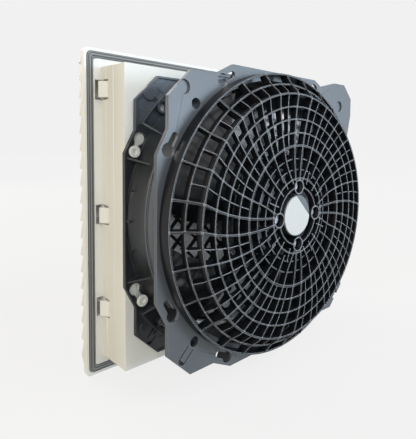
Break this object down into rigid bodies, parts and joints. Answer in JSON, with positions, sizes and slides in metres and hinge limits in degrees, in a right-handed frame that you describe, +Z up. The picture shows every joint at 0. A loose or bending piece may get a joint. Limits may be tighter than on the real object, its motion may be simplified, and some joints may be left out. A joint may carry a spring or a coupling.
{
  "type": "cabinet filter fan",
  "caption": "Square louvred filter fan for a cabinet wall: hinged rain cover, filter mat, mounting frame and a mixed-flow fan with a domed finger guard.",
  "frame": {"origin": "centre of the square cut-out, in the plane where the seal meets the cabinet wall", "axes": "+Y along the fan's axis into the cabinet, +Z up, +X to the left as seen from inside the cabinet"},
  "size_m": [0.323, 0.1564, 0.323],
  "materials": {
    "cream_plastic": "fine moulded grain, cream",
    "filter_fleece": "white progressive fibre fleece",
    "seal_foam": "foamed polyurethane, satin skin",
    "black_plastic": "glass filled polyamide, satin black",
    "guard_plastic": "glass filled polyamide, satin dark grey",
    "bright_steel": "zinc plated or ground",
    "motor_alloy": "die cast, as cast",
    "white_film": "bare white film",
    "lamination": "stamped sheets",
    "copper_wire": "enamelled winding wire",
    "green_board": "solder mask",
    "rotor_paint": "black e-coat",
    "ferrite": "bonded ferrite"
  },
  "bodies": {
    "frame": {"base_frame": "cream_plastic", "panel_gasket": "seal_foam", "filter_mat": "filter_fleece", "filter_grid": "cream_plastic", "bayonet_pins": "cream_plastic"},
    "cover": {"louvre_cover": "cream_plastic", "hinge_pins": "bright_steel"},
    "fan_unit": {"front_housing": "black_plastic", "rear_housing": "black_plastic", "finger_guard": "guard_plastic", "motor_screws": "bright_steel", "motor_flange": "motor_alloy", "blank_label": "white_film", "stator_core": "lamination", "stator_windings": "copper_wire", "winding_board": "green_board", "front_bearing": "bright_steel", "rear_bearing": "bright_steel", "preload_washer": "bright_steel", "terminal_block": "black_plastic", "terminal_screws": "bright_steel"},
    "rotor": {"impeller": "black_plastic", "rotor_can": "rotor_paint", "magnet_ring": "ferrite", "shaft": "bright_steel", "circlip": "bright_steel"}
  },
  "joints": [
    {"name": "cover_hinge", "type": "hinge", "parent": "frame", "child": "cover", "pos_m": [0, -0.009, -0.1582], "axis": [1, 0, 0], "range_deg": [0, 85]},
    {"name": "fan_twist", "type": "hinge", "parent": "frame", "child": "fan_unit", "pos_m": [0, 0.0428, 0], "axis": [0, 1, 0], "range_deg": [0, 5.2]},
    {"name": "impeller_spin", "type": "hinge", "parent": "fan_unit", "child": "rotor", "pos_m": [0, 0.09, 0], "axis": [0, 1, 0], "continuous": true}
  ]
}
